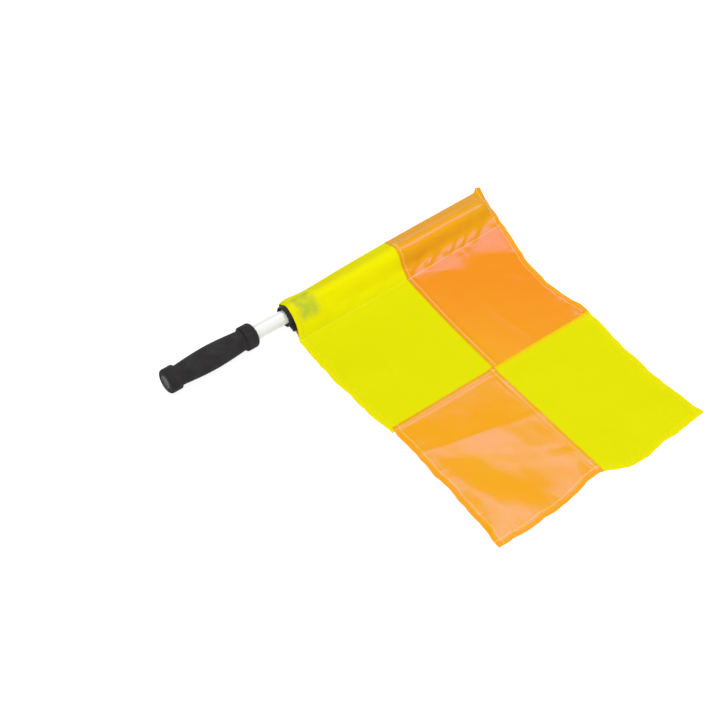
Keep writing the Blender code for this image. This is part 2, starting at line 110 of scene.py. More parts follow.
# How the sleeve lies over the pole. Tables of (share of the way, distance) give distances in millimetres
SLEEVE_RADIUS = CAP_RADIUS + FIT_GAP + 0.5 * CLOTH_THICKNESS
MOUTH_RADIUS = LOOP_OUTER + FIT_GAP + 0.5 * CLOTH_THICKNESS
FOLD_REACH = ((0.0, 19), (0.11, 31), (0.16, 31), (0.3, 33), (0.6, 35), (1.0, 35))
FOLD_REACH_AT_END = 42 * MM
FOLD_HEIGHT = 4.6 * MM
FOLD_NOSE = 3.6 * MM
FOLD_START = 4 * MM
FOLD_SPREAD = 42 * MM
TAPE_TAPER = 12 * MM

# Where the cut edges and seams stray from straight lines
SLEEVE_LEFT = ((0.0, -3), (0.2, 1), (0.45, 3), (0.93, 3))
SLEEVE_MIDDLE = ((0.0, 7), (0.45, 13), (0.93, 21))
SLEEVE_RIGHT = ((0.0, 2), (0.45, 9), (1.0, 24))
HOIST_LEFT = ((0.0, -3), (0.25, -7), (0.6, -6), (0.9, -3), (1.0, -1))
HOIST_MIDDLE = ((0.0, 7), (0.4, 3), (1.0, 1))
HOIST_RIGHT = ((0.0, 2), (0.25, -8), (0.5, -16), (0.8, -13), (1.0, -5))
FLY_LEFT = ((0.0, 4), (0.3, 1), (0.65, 0.0), (1.0, -5))
FLY_MIDDLE = ((0.0, 1), (1.0, 5))
FLY_RIGHT = ((0.0, -5), (0.35, -10), (0.75, -8), (1.0, 0.0))
FLY_EDGE = ((0.0, -3), (0.23, -2), (0.4, 6), (0.5, 12), (0.58, -2), (0.8, -1), (1.0, 4))

# Folds and creases of the lying cloth: the crest's points on the table in millimetres, half widths on the
# crest's left and right, height in millimetres, and how sharp the crest is, from 0 for a soft swell to 1 for
# a pressed crease
CREASES = (
    (((182, -282), (289, -307), (376, -324), (440, -336)), (52, 24), 1.6, 0.2),
    (((186, -282), (289, -308), (370, -326), (430, -338)), (6, 9), 0.4, 0.9),
    (((190, -330), (222, -392), (262, -470)), (75, 60), 1.3, 0.0),
    (((196, -296), (214, -338), (224, -374), (232, -402), (246, -432), (264, -476)), (34, 22), 2.6, 0.1),
    (((365, -392), (352, -428), (340, -464)), (24, 40), 1.9, 0.8),
    (((437, -96), (438, -147), (449, -226)), (7, 7), 0.5, 0.6),
    (((560, -150), (556, -200)), (26, 26), 4.0, 0.0),
    (((548, -204), (532, -230)), (8, 12), 2.6, 0.4),
    (((494, -106), (516, -130)), (8, 8), 0.7, 0.2),
    (((197, -120), (262, -152)), (26, 26), 3.0, 0.0),
    (((193, -440), (225, -456)), (24, 24), 2.0, 0.0),
    (((455, -395), (540, -438)), (26, 26), 4.2, 0.0),
    (((420, -335), (505, -372)), (26, 26), 2.4, 0.0),
    (((380, -262), (470, -300)), (20, 20), 1.6, 0.0),
    (((395, -455), (420, -400)), (16, 16), 2.4, 0.2),
)

# Crinkles of the sleeve's upper layer between the pole's ridge and the stitches, in the same terms
SLEEVE_CREASES = (
    (((414, -15), (384, -32)), (5, 9), 1.7, 0.8),
    (((446, -17), (414, -36)), (5, 9), 1.9, 0.8),
    (((480, -17), (449, -37)), (5, 10), 2.1, 0.8),
    (((500, -17), (470, -37)), (4, 8), 1.9, 0.9),
    (((525, -15), (493, -38)), (5, 10), 2.1, 0.9),
    (((560, -14), (532, -35)), (5, 9), 1.8, 0.8),
    (((350, -20), (316, -34)), (6, 10), 1.0, 0.6),
    (((300, -20), (262, -34)), (6, 10), 1.1, 0.6),
)

# The stitch line lies off the table where the sleeve's upper layer pulls it up: share of the way with its
# height, and with how far below it the cloth is back on the table
STITCH_LIFT = ((0.0, 0.6), (0.3, 0.2), (0.55, 0.4), (0.65, 1.3), (0.74, 3.0), (0.84, 2.6), (0.97, 5.0),
               (1.0, 5.0))
LIFT_REACH = ((0.0, 20), (0.3, 14), (0.55, 9), (0.65, 14), (0.74, 32), (0.84, 26), (0.97, 52), (1.0, 56))

# Shares of a crease's length over which it rises and dies away
FADE_IN = (-0.12, 0.2)
FADE_OUT = (0.8, 1.12)

# Unevenness of the cloth as waves (length, height) in millimetres, and as wave lengths along edges and seams
RIPPLES = ((150, 0.9), (110, 0.7), (84, 0.42), (61, 0.26), (47, 0.2), (34, 0.15), (23, 0.1))
EDGE_WAVES = (17, 26, 41, 67)
GATHERS = (9, 13, 19)
RIPPLE_SEED = 11
GATHER_SEED = 23

# The sleeve's loose outer layer as (y, z) steps in millimetres from the pole's top and from its stitches, how
# loose it is as (share of the way, share), and how finely its cross sections are cut
LOOSE_OVER = ((6, -0.3), (3, 0.9), (-7.5, -0.7), (-12, -4.6), (-17, -13.5))
LOOSE_APRON = ((17, 3.9), (10, 2.2))
LOOSENESS = ((0.0, 0.0), (0.13, 0.0), (0.26, 0.45), (0.48, 0.45), (0.58, 1.0), (1.0, 1.0))
SMOOTHING = 12
BELOW_COUNT = 26
NOSE_COUNT = 9
ABOVE_COUNT = 52
SLEEVE_ROWS = BELOW_COUNT + NOSE_COUNT + ABOVE_COUNT
END_SPAN = 24 * MM
SECTION_STEP = 2 * MM

# Places of the cloth's rows and columns: turned under, beside a fold, beside a running seam, and between
STEP = 3.3 * MM
UNDER_SHARES = (1.0, 0.78, 0.55, 0.32, 0.14, 0.04)
UNDER_ROWS = len(UNDER_SHARES) + 1
RUN_SHARES = (1.0, 0.6, 0.25)
RUN_ROWS = len(RUN_SHARES) + 1
FOLD_PLACES = [place * MM for place in (0.05, 0.5, 1.2, 2.4, 3.8, 5.2, 6.6, 7.6, 8.5, 9.4, 11.0)]
RUN_PLACES = [place * MM for place in (0.0, 1.5, 4.0, 7.0)]

# Where the loop tape lies along the pole
TAPE_X = MOUTH_X + SLEEVE_LEFT[-1][1] * MM - TAPE_SHOWS
TAPE_END = TAPE_X + TAPE_WIDTH


def ease(value, start, end):
    """0 before start, 1 after end, and a smooth step between them."""
    t = np.clip((value - start) / (end - start), 0.0, 1.0)
    return t * t * (3 - 2 * t)


def mix(a, b, share):
    return a + (b - a) * share


def curve_through(points, share):
    """A smooth curve through a few (share, millimetres) points, read at an array of shares, in metres."""
    at, value = np.array(points, float).T
    value = value * MM
    slope = np.gradient(value, at)
    share = np.clip(share, at[0], at[-1])
    i = np.clip(np.searchsorted(at, share, side="right") - 1, 0, len(at) - 2)
    step = at[i + 1] - at[i]
    t = (share - at[i]) / step
    return (value[i] * (1 + 2 * t) * (1 - t) ** 2 + slope[i] * step * t * (1 - t) ** 2
            + value[i + 1] * t * t * (3 - 2 * t) - slope[i + 1] * step * t * t * (1 - t))


def axis_height(x):
    """Height of the pole's axis above the table."""
    return AXIS_POINT.z + (x + BUTT_X - AXIS_POINT.x) * AXIS.z / AXIS.x


def edge_wander(y, seed):
    """Small waves of a cut and hemmed edge."""
    rng = np.random.default_rng(seed)
    waves = [length * MM for length in EDGE_WAVES]
    return sum(0.01 * wave * np.sin(math.tau * (y / wave + rng.random())) for wave in waves)


def line_x(y, sleeve, hoist, fly):
    """How far a line across the flag strays at each y."""
    on_sleeve = curve_through(sleeve, (y - STITCH_Y) / (FOLD_REACH_AT_END - STITCH_Y))
    on_hoist = curve_through(hoist, (STITCH_Y - y) / (STITCH_Y - CROSS_Y))
    on_fly = curve_through(fly, (CROSS_Y - y) / (CROSS_Y - FLY_Y))
    return np.where(y > STITCH_Y, on_sleeve, np.where(y > CROSS_Y, on_hoist, on_fly))


def left_x(y, on_fly=False):
    if on_fly:
        strays = curve_through(FLY_LEFT, (CROSS_Y - y) / (CROSS_Y - FLY_Y))
    else:
        past_end = HOIST_LEFT[-1:] + ((2.0, HOIST_LEFT[-1][1]),)
        strays = line_x(y, SLEEVE_LEFT, HOIST_LEFT, past_end)
    return MOUTH_X + strays + edge_wander(y, seed=3)


def middle_x(y):
    return MOUTH_X + CHECK_WIDTH + line_x(y, SLEEVE_MIDDLE, HOIST_MIDDLE, FLY_MIDDLE)


def right_x(y):
    strays = line_x(y, SLEEVE_RIGHT, HOIST_RIGHT, FLY_RIGHT)
    return MOUTH_X + HOIST_WIDTH + strays + edge_wander(y, seed=5)


def crease_field(x, y, creases):
    """Height that a list of folds and creases gives at each point of the table."""
    lift = np.zeros_like(x)
    for crest, half_widths, height, sharp in creases:
        points = np.array(crest) * MM
        runs = distances(points)
        nearest, way, on_left = np.full_like(x, 1e9), np.zeros_like(x), np.zeros_like(x, bool)
        for start, end, run, next_run in zip(points, points[1:], runs, runs[1:]):
            heading = unit(end - start)
            dx, dy = x - start[0], y - start[1]
            near = np.clip(dx * heading[0] + dy * heading[1], 0.0, next_run - run)
            away = np.hypot(dx - near * heading[0], dy - near * heading[1])
            closer = away < nearest
            way = np.where(closer, (run + near) / runs[-1], way)
            on_left = np.where(closer, heading[0] * dy > heading[1] * dx, on_left)
            nearest = np.minimum(away, nearest)
        away = nearest / (np.where(on_left, *half_widths) * MM)
        fade = ease(way, *FADE_IN) * (1 - ease(way, *FADE_OUT))
        soft = np.exp(-away ** 2)
        down = 1.07 - np.sqrt(away ** 2 + 0.01)
        crisp = 0.5 * (down + np.sqrt(down ** 2 + 0.01))
        lift += height * MM * mix(soft, crisp, sharp) * fade
    return lift


def stitch_lift(x):
    """Height of the stitch line off the table."""
    return curve_through(STITCH_LIFT, (x - MOUTH_X) / HOIST_WIDTH)


def ripple_field(x, y):
    """Gentle unevenness of woven cloth that has been folded and laid down."""
    rng = np.random.default_rng(RIPPLE_SEED)
    lift = np.zeros_like(x)
    for length, height in RIPPLES:
        for _ in range(4):
            turn, phase = rng.random(2) * math.tau
            wave = (x * math.cos(turn) + y * math.sin(turn)) / (length * MM)
            lift += 0.3 * height * MM * np.sin(math.tau * wave + phase)
    return lift


def pucker_field(x, y):
    """Small gathers that sewing leaves beside each seam and hem."""
    rng = np.random.default_rng(GATHER_SEED)
    lift = np.zeros_like(x)
    for along, away, reach, height in (
        (x, y - STITCH_Y, 9, 0.42), (x, y - CROSS_Y, 8, 0.32), (y, x - middle_x(y), 8, 0.32),
        (y, x - left_x(y, True) - HEM, 7, 0.42), (y, x - right_x(y) + HEM, 7, 0.42),
        (x, y - fly_edge_y(x) - HEM, 7, 0.42),
    ):
        wave = sum(np.sin(math.tau * (along / (length * MM) + rng.random())) for length in GATHERS)
        lift += height * MM * wave / len(GATHERS) * np.exp(-np.abs(away) / (reach * MM))
    return lift


def fly_edge_y(x):
    return FLY_Y + curve_through(FLY_EDGE, (x - MOUTH_X) / HOIST_WIDTH) + edge_wander(x, seed=7)


def laid_height(x, y):
    """Height of the flat cloth: over the sleeve's hem, then down to the table, with its folds."""
    below = STITCH_Y - y
    over_hem = 1 - ease(below, SLEEVE_HEM, SLEEVE_HEM + 12 * MM)
    clear = ease(below, 0.0, 26 * MM)
    uneven = 0.4 + 0.6 * ease(-y, 210 * MM, 270 * MM)
    folds = crease_field(x, y, CREASES) + ripple_field(x, y) * uneven
    folds = 0.5 * (folds + np.sqrt(folds ** 2 + (0.6 * MM) ** 2)) * clear
    puckers = pucker_field(x, y)
    reach = curve_through(LIFT_REACH, (x - MOUTH_X) / HOIST_WIDTH)
    hung = stitch_lift(x) * (1 - np.clip(below / reach, 0.0, 1.0)) ** 1.1
    return FLOOR_LAYER + 2 * LAYER * over_hem + hung + folds + np.maximum(puckers, -0.5 * (folds + LAYER))


def distances(route):
    """How far along a route each of its points is."""
    return np.concatenate(([0.0], np.cumsum(np.linalg.norm(np.diff(route, axis=0), axis=1))))


def even_steps(route, count):
    """Points at even distances along a route."""
    route = np.array(route)
    at = distances(route)
    steps = np.linspace(0.0, at[-1], count)
    return np.stack([np.interp(steps, at, column) for column in route.T], axis=1)


def wrap_over(start, end, centre, radius, count):
    """Evenly spaced points of a string from start over a round pole to end, straight on both sides of it."""
    (start_y, start_z), (end_y, end_z) = start - centre, end - centre
    first = math.atan2(start_z, start_y) + math.acos(min(radius / math.hypot(start_y, start_z), 1.0))
    last = math.atan2(end_z, end_y) % math.tau - math.acos(min(radius / math.hypot(end_y, end_z), 1.0))
    if last <= first or radius < 0.1 * MM:
        return even_steps([start, end], count)
    angles = np.linspace(first, last, 24)
    arc = centre + radius * np.stack((np.cos(angles), np.sin(angles)), axis=1)
    return even_steps([start, *arc, end], count)


def hang_over(start, end, centre, radius, count):
    """Evenly spaced points of a loose layer: flat over the pole, steep beside it, then nearly flat."""
    over = (0.0, centre[1] + radius) + np.array(LOOSE_OVER) * MM
    apron = end + np.array(LOOSE_APRON) * MM
    return even_steps([start, *over, *apron, end], count)


def sleeve_section(x):
    """One cross section of the sleeve as (y, z) points from its lower stitches round to its upper ones, with
    the centre and radius of what it lies over."""
    over_tape = 1 - ease(x, TAPE_END, TAPE_END + TAPE_TAPER)
    folded = ease(x, MOUTH_X + FOLD_START, MOUTH_X + FOLD_START + FOLD_SPREAD)
    past_tip = min(max((x - TIP_X - FIT_GAP) / END_SPAN, 0.0), 1.0)
    falling, closing = past_tip ** 0.9, ease(past_tip, 0.6, 1.0)
    radius = mix(SLEEVE_RADIUS, MOUTH_RADIUS, over_tape) * (1 - falling)
    centre = np.array((0.0, mix(axis_height(min(x, TIP_X)), 3 * LAYER, falling)))
    share = (x - MOUTH_X) / HOIST_WIDTH
    reach = mix(curve_through(FOLD_REACH, share), FOLD_REACH_AT_END, ease(past_tip, 0.5, 0.72))
    nose = mix(mix(0.9 * radius, FOLD_NOSE, folded), LAYER, closing)
    nose_z = mix(mix(centre[1], FOLD_HEIGHT, folded), 3 * LAYER, closing)

    # The lower layer hangs as the mirror image of a string laid over the pole
    mirror = 2 * centre[1]
    held = stitch_lift(x)
    lower = wrap_over(np.array((reach - nose, mirror - nose_z + nose)),
                      np.array((STITCH_Y - SLEEVE_HEM, mirror - FLOOR_LAYER)),
                      centre, max(radius - HAIR_GAP, 0.0), BELOW_COUNT)[::-1]
    lower[:, 1] = mirror - lower[:, 1] + held * np.exp(-((lower[:, 0] - STITCH_Y) / (11 * MM)) ** 2)

    angles = np.radians(np.linspace(-90, 90, NOSE_COUNT + 2)[1:-1])
    turn = (reach - nose, nose_z) + nose * np.stack((np.cos(angles), np.sin(angles)), axis=1)

    loose = np.interp(share, *zip(*LOOSENESS)) * (1 - past_tip)
    ends = np.array((reach - nose, nose_z + nose)), np.array((STITCH_Y, FLOOR_LAYER + 2 * LAYER + held))
    upper = mix(*(lay(*ends, centre, radius, ABOVE_COUNT) for lay in (wrap_over, hang_over)), loose)
    return np.concatenate((lower, turn, upper)), centre, radius


def sleeve_sections():
    """The sleeve's cross sections at even steps along the pole, smoothed as cloth that bends softly."""
    places = np.arange(MOUTH_X - 12 * MM, TIP_X + END_SPAN + 0.5 * SECTION_STEP, SECTION_STEP)
    points, centres, radii = (np.array(column) for column in zip(*(sleeve_section(x) for x in places)))
    fixed = np.zeros(points.shape[1], bool)
    fixed[:BELOW_COUNT + NOSE_COUNT - 3] = True
    fixed[-1] = True
    kept = points.copy()
    for _ in range(SMOOTHING):
        along = 0.5 * (np.roll(points, 1, 1) + np.roll(points, -1, 1))
        across = points.copy()
        across[1:-1] = 0.5 * (points[2:] + points[:-2])
        points = points + 0.55 * (along - points) + 0.10 * (across - points)
        away = points - centres[:, None]
        distance = np.linalg.norm(away, axis=2)
        push = np.maximum(radii[:, None] / np.maximum(distance, 1e-6), 1.0)
        points = centres[:, None] + away * push[..., None]
        points[:, fixed] = kept[:, fixed]
        points[..., 1] = np.maximum(points[..., 1], FLOOR_LAYER)
    return places, points


def unit(vectors):
    return vectors / np.maximum(np.linalg.norm(vectors, axis=-1, keepdims=True), 1e-12)


def grid_normals(points):
    """Unit normals of a grid of points, up on the cloth's upper face."""
    return unit(np.cross(np.gradient(points, axis=0), np.gradient(points, axis=1)))


def spread(start, end, step):
    """Even places from start to end, without the two ends, about one step apart."""
    count = max(int(round((end - start) / step)), 2)
    return [mix(start, end, i / count) for i in range(1, count)]


def edge_steps(allowance, kind):
    """Columns or rows from a check's edge inwards as (place, layers under).

    A hem or a folded seam turns under itself, a plain seam's allowance runs on past the line.
    """
    if kind == "fold":
        under = [(allowance * share, 1.0) for share in UNDER_SHARES]
        return under + [(0.0, 0.5)] + [(place, 0.0) for place in FOLD_PLACES]
    return [(-allowance * share, 0.0) for share in RUN_SHARES] + [(place, 0.0) for place in RUN_PLACES]


def side_steps(width, near, far):
    """Columns or rows across a check, from its near edge to its far one, each given as (allowance, kind)."""
    start, end = edge_steps(*near), edge_steps(*far)
    between = [(place, 0.0) for place in spread(start[-1][0], width - end[-1][0], STEP)]
    return start + between + [(width - place, under) for place, under in reversed(end)]


def raised_beside(distance, reach):
    """1 within a seam's allowance, 0 away from it."""
    return 1 - ease(distance, reach + 0.5 * MM, reach + 0.5 * MM + SETTLE_WIDTH)


class Check:
    """One check of the flag: its columns, where they lie, and how many layers they lie on."""

    def __init__(self, colour, on_right, on_fly):
        self.colour, self.on_right, self.on_fly = colour, on_right, on_fly
        hem, seam = (HEM, "fold"), (SEAM_ALLOWANCE, "run" if on_fly == on_right else "fold")
        sides = (seam, hem) if on_right else (hem, seam)
        self.place, self.under = np.array(side_steps(CHECK_WIDTH, *sides)).T
        self.outside = CHECK_WIDTH - self.place if on_right else self.place

    def x_at(self, y):
        """x of each column at each y. Inside the check it is a share of the way between its side lines."""
        near, far = (middle_x(y), right_x(y)) if self.on_right else (left_x(y, self.on_fly), middle_x(y))
        inside = mix(near, far, self.place / CHECK_WIDTH)
        past = np.where(self.place > CHECK_WIDTH, far + self.place - CHECK_WIDTH, inside)
        return np.where(self.place < 0, near + self.place, past)

    def levels(self, x, y):
        """How many layers of cloth lie under the check's upper face beside its seams."""
        beside = x - middle_x(y) if self.on_right else middle_x(y) - x
        flap = raised_beside(beside, SEAM_ALLOWANCE) * 2
        if not self.on_fly:
            return flap if self.on_right else np.zeros_like(x)
        cross = raised_beside(CROSS_Y - y, SEAM_ALLOWANCE) * 2
        layers = cross + raised_beside(np.abs(beside), SEAM_ALLOWANCE) * cross
        return layers if self.on_right else layers + flap * ease(CROSS_Y - y, -MM, 0.0)


def hoist_points(check, places, sections):
    """Grid of a hoist check: the sleeve's lower layer, fold and upper layer, then the flat cloth."""
    index = np.arange(SLEEVE_ROWS)

    def on_section(x, y):
        """The sleeve at each x. What lies past the tip shares out the short way down to the cloth's edge."""
        past = np.clip((x - TIP_X) / np.maximum(right_x(y) - TIP_X, MM), 0.0, 1.0)
        along = np.where(x > TIP_X, TIP_X + past * END_SPAN, x)
        at = np.clip((along - places[0]) / SECTION_STEP, 0, len(places) - 1.001)
        low = at.astype(int)
        part = (at - low)[..., None]
        return mix(sections[low, index[:, None]], sections[low + 1, index[:, None]], part)

    y = np.repeat(sections[len(places) // 2, :, :1], len(check.place), axis=1)
    for _ in range(4):
        x = check.x_at(y)
        found = on_section(x, y)
        y = found[..., 0]
    sleeve = np.concatenate((x[..., None], found), axis=2)
    upper = ease(index, BELOW_COUNT + NOSE_COUNT - 2, BELOW_COUNT + NOSE_COUNT + 8)[:, None]
    lift = crease_field(x, y, SLEEVE_CREASES) + 0.35 * ripple_field(x, 1.6 * y) + np.abs(pucker_field(x, y))
    lift = lift * upper
    from_axis = np.hypot(y, found[..., 1] - axis_height(np.minimum(x, TIP_X)))
    lift = np.where(x < TIP_X + MM, np.maximum(lift, SLEEVE_RADIUS + HAIR_GAP - from_axis), lift)
    layers = check.levels(x, np.full_like(x, STITCH_Y)) - check.under
    sleeve = sleeve + grid_normals(sleeve) * (lift + LAYER * layers)[..., None]
    sleeve[..., 2] = np.maximum(sleeve[..., 2], TABLE_GAP)
    length = STITCH_Y - CROSS_Y
    seam = [length - place for place, _ in reversed(edge_steps(SEAM_ALLOWANCE, "run"))]
    rows = np.array(spread(0.0, seam[0], STEP) + seam)
    return np.concatenate((sleeve, flat_points(check, STITCH_Y - rows, 0 * rows, 0 * rows)))


def flat_points(check, row_y, row_under, pull):
    """Grid of flat cloth at some rows. pull moves each row to follow the wandering fly edge."""
    y = np.repeat(row_y[:, None], len(check.place), axis=1)
    y = y + pull[:, None] * (fly_edge_y(check.x_at(y)) - FLY_Y)
    x = check.x_at(y)
    under = np.maximum(check.under, row_under[:, None])
    hem = 1 - ease(np.minimum(check.outside, y - fly_edge_y(x)), HEM, HEM + SETTLE_WIDTH)
    laid = np.maximum(laid_height(x, y), TABLE_GAP + LAYER * hem)
    z = np.maximum(laid + LAYER * (check.levels(x, y) - under), TABLE_GAP)
    return np.stack((x, y, z), axis=2)


def fly_points(check):
    """Grid of a fly check, folded under at the cross seam and hemmed at the fly edge."""
    length = CROSS_Y - FLY_Y
    place, under = np.array(side_steps(length, (SEAM_ALLOWANCE, "fold"), (HEM, "fold"))).T
    return flat_points(check, CROSS_Y - place, under, ease(place, length / 2, length))


def add_object(name, data):
    made = bpy.data.objects.new(name, data)
    bpy.context.scene.collection.objects.link(made)
    return made


def add_piece(name, mesh, look, body):
    """Makes an object of a mesh, in place, with its material, riding on a body."""
    made = add_object(name, mesh)
    mesh.materials.append(look)
    mesh.shade_smooth()
    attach(made, body)
    return made


def cloth_piece(name, points, shares, look, node):
    """A check of cloth through a grid of points, with its real thickness. Its look reads the named shares."""
    rows, columns = points.shape[:2]
    first = (np.arange(rows - 1)[:, None] * columns + np.arange(columns - 1)).ravel()
    faces = np.stack((first, first + columns, first + columns + 1, first + 1), axis=1)
    mesh = bpy.data.meshes.new(name)
    mesh.from_pydata((points.reshape(-1, 3) + np.array(PLACE)).tolist(), [], faces.tolist())
    for label, share in shares.items():
        values = mesh.attributes.new(label, "FLOAT", "POINT").data
        values.foreach_set("value", share.ravel().astype(np.float32))
    made = add_piece(name, mesh, look, "flag")
    thicken = made.modifiers.new("thickness", "SOLIDIFY")
    thicken.thickness = CLOTH_THICKNESS
    thicken.offset = 0.0
    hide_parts(node)
    return made


# Stitches

STITCH_PITCH = 3.1 * MM
STITCH_LENGTH = 2.5 * MM
THREAD_RADIUS = 0.4 * MM
THREAD_END_SHARE = 0.45
THREAD_LOW = -0.1 * MM
THREAD_HIGH = 0.24 * MM
THREAD_SIDES = 5
THREAD_RINGS = 5
SLEEVE_THREAD = 1.2


def stitch_row(verts, faces, line, normals, thickness):
    """Adds a row of stitches along a line of points on the cloth."""
    at = distances(line)

    def read(values, distance):
        return np.array([np.interp(distance, at, column) for column in values.T])

    for i in range(int(at[-1] / STITCH_PITCH)):
        start = i * STITCH_PITCH + 0.5 * (STITCH_PITCH - STITCH_LENGTH)
        base = len(verts)
        heading = unit(read(line, start + STITCH_LENGTH) - read(line, start))
        for ring in range(THREAD_RINGS):
            t = ring / (THREAD_RINGS - 1)
            distance, bow = start + t * STITCH_LENGTH, math.sin(math.pi * t)
            up = unit(read(normals, distance))
            side = np.cross(heading, up)
            middle = read(line, distance) + up * mix(THREAD_LOW, THREAD_HIGH, bow)
            size = thickness * THREAD_RADIUS * mix(THREAD_END_SHARE, 1.0, min(1.0, 2.2 * bow))
            for k in range(THREAD_SIDES):
                a = math.tau * k / THREAD_SIDES
                verts.append(middle + size * (math.cos(a) * side + math.sin(a) * up))
        for ring in range(THREAD_RINGS - 1):
            first = base + ring * THREAD_SIDES
            for k in range(THREAD_SIDES):
                a, b = first + k, first + (k + 1) % THREAD_SIDES
                faces.append((a, a + THREAD_SIDES, b + THREAD_SIDES, b))
        faces.append(tuple(range(base, base + THREAD_SIDES)))
        faces.append(tuple(reversed(range(len(verts) - THREAD_SIDES, len(verts)))))


def column_at(check, distance, from_far):
    """Index of the top column nearest a distance inside an edge."""
    target = CHECK_WIDTH - distance if from_far else distance
    return int(np.argmin(np.abs(check.place - target) + (check.under > 0)))


def row_near(points, distance):
    """Index of the fly check's upper row nearest a distance below the cross seam."""
    middle = points[UNDER_ROWS:-UNDER_ROWS, points.shape[1] // 2, 1]
    return UNDER_ROWS + int(np.argmin(np.abs(CROSS_Y - distance - middle)))


def sew_check(check, verts, faces):
    """Adds the stitches of a check: hems, seams, and on the hoist the line that closes the sleeve."""
    points, count = check.points, len(check.points)
    if check.on_fly:
        down, thickness = slice(UNDER_ROWS + 1, count - UNDER_ROWS - 1), 1.0
        across = [row_near(points, TOPSTITCH), row_near(points, CROSS_Y - FLY_Y - HEM)]
    else:
        down, thickness = slice(BELOW_COUNT + NOSE_COUNT - 4, count - RUN_ROWS), SLEEVE_THREAD
        across = [SLEEVE_ROWS - 1]
    lines = [(down, column_at(check, HEM, check.on_right), 1.0)]
    if check.on_right != check.on_fly:
        lines.append((down, column_at(check, TOPSTITCH, not check.on_right), 1.0))
    edge = 0.4 * MM
    inside = (check.under == 0.0) & (check.place > edge) & (check.place < CHECK_WIDTH - edge)
    lines += [(row, inside, thickness) for row in across]
    for row, column, thread in lines:
        stitch_row(verts, faces, points[row, column], check.normals[row, column], thread)


def sew(checks):
    """The stitches of all checks, as one piece for each colour of thread."""
    for colour, tint in (("orange", (1.0, 0.76, 0.36)), ("yellow", (0.84, 0.82, 0.03))):
        verts, faces = [], []
        for check in checks:
            if check.colour == colour:
                sew_check(check, verts, faces)
        name = colour + "_stitches"
        mesh = bpy.data.meshes.new(name)
        mesh.from_pydata([tuple(Vector(v) + PLACE) for v in verts], [], faces)
        add_piece(name, mesh, thread_look(colour + "_thread", tint), "flag")


# Materials

# Heading along which the cloth's painted shade deepens, towards the tip, where the light falls off
SHADE_HEADING = (0.66, 0.75, 0.0)
WEAVE_SPACING = 0.55 * MM
# Painted shade of the dark loop tape under the sleeve's mouth
TAPE_SHADE_TINT = (0.56, 0.64, 0.045)
# Painted amber light of the orange cloth beneath, seen through the yellow
SHOW_THROUGH_TINT = (0.89, 0.66, 0.004)


class Nodes:
    """The node tree of a material, the world or a modifier, with one call for each node."""

    def __init__(self, owner):
        self.owner = self.tree = owner
        if not isinstance(owner, bpy.types.NodeTree):
            owner.use_nodes = True
            self.tree = owner.node_tree
        self.tree.nodes.clear()

    def add(self, kind, *values, settings=None, **inputs):
        """Makes a node. Its inputs are given in their order, or by name."""
        made = self.tree.nodes.new(kind)
        for key, value in (settings or {}).items():
            setattr(made, key, value)
        for socket, value in enumerate(values):
            self.put(made, socket, value)
        for key, value in inputs.items():
            self.put(made, key.replace("_", " "), value)
        return made

    def put(self, made, socket, value):
        """Links a node's first output or a socket to an input, or sets the input to a value."""
        if isinstance(value, bpy.types.Node):
            value = value.outputs[0]
        if isinstance(value, bpy.types.NodeSocket):
            self.tree.links.new(value, made.inputs[socket])
        else:
            made.inputs[socket].default_value = value

    def place(self):
        return self.add("ShaderNodeTexCoord").outputs["Object"]

    def along(self, axis):
        return self.add("ShaderNodeSeparateXYZ", self.place()).outputs[axis]

    def math(self, operation, *values, clamp=False):
        return self.add("ShaderNodeMath", *values, settings={"operation": operation, "use_clamp": clamp})

    def noise(self, scale, detail=3.0, roughness=0.5, stretch=None):
        place = self.place()
        if stretch:
            place = self.add("ShaderNodeMapping", place, Scale=stretch)
        made = self.add("ShaderNodeTexNoise", Vector=place, Scale=scale, Detail=detail, Roughness=roughness)
        return made.outputs["Fac"]

    def cells(self, scale):
        return self.add("ShaderNodeTexVoronoi", Vector=self.place(), Scale=scale).outputs["Distance"]

    def given(self, label):
        """A share that the mesh gives under this name."""
        return self.add("ShaderNodeAttribute", settings={"attribute_name": label}).outputs["Fac"]

    def ramp(self, value, low, high, to_low=0.0, to_high=1.0):
        return self.add("ShaderNodeMapRange", value, low, high, to_low, to_high)

    def blend(self, share, a, b):
        made = self.add("ShaderNodeMix", share, settings={"data_type": "RGBA"})
        for socket, colour in ((6, a), (7, b)):
            self.put(made, socket, (*colour, 1.0) if isinstance(colour, tuple) else colour)
        return made.outputs[2]

    def bump(self, height, distance, strength=1.0, over=None):
        made = self.add("ShaderNodeBump", Height=height, Distance=distance, Strength=strength)
        if over:
            self.put(made, "Normal", over)
        return made

    def both(self, share, a, b):
        return self.add("ShaderNodeMixShader", share, a, b)

    def finish(self, shader):
        self.add("ShaderNodeOutputMaterial", Surface=shader)
        return self.owner

    def finish_solid(self, **inputs):
        return self.finish(self.add("ShaderNodeBsdfPrincipled", **inputs))


def material(name):
    return Nodes(bpy.data.materials.new(name))


def weave(nodes):
    """Height of a plain weave: two sets of threads that cross."""
    threads = []
    for direction in ("X", "Y"):
        wave = nodes.add("ShaderNodeTexWave", nodes.place(), settings={"bands_direction": direction},
                         Scale=math.pi / 10 / WEAVE_SPACING, Distortion=0.6, Detail=1.0, Detail_Scale=1.5)
        threads.append(wave.outputs["Fac"])
    return nodes.math("MULTIPLY", *threads)


def slubs(nodes):
    """Height of the thicker threads that run here and there both ways through a cloth."""
    ways = [nodes.noise(1.0, 2.0, stretch=way) for way in ((30.0, 430.0, 430.0), (430.0, 30.0, 430.0))]
    return nodes.math("ADD", *ways)


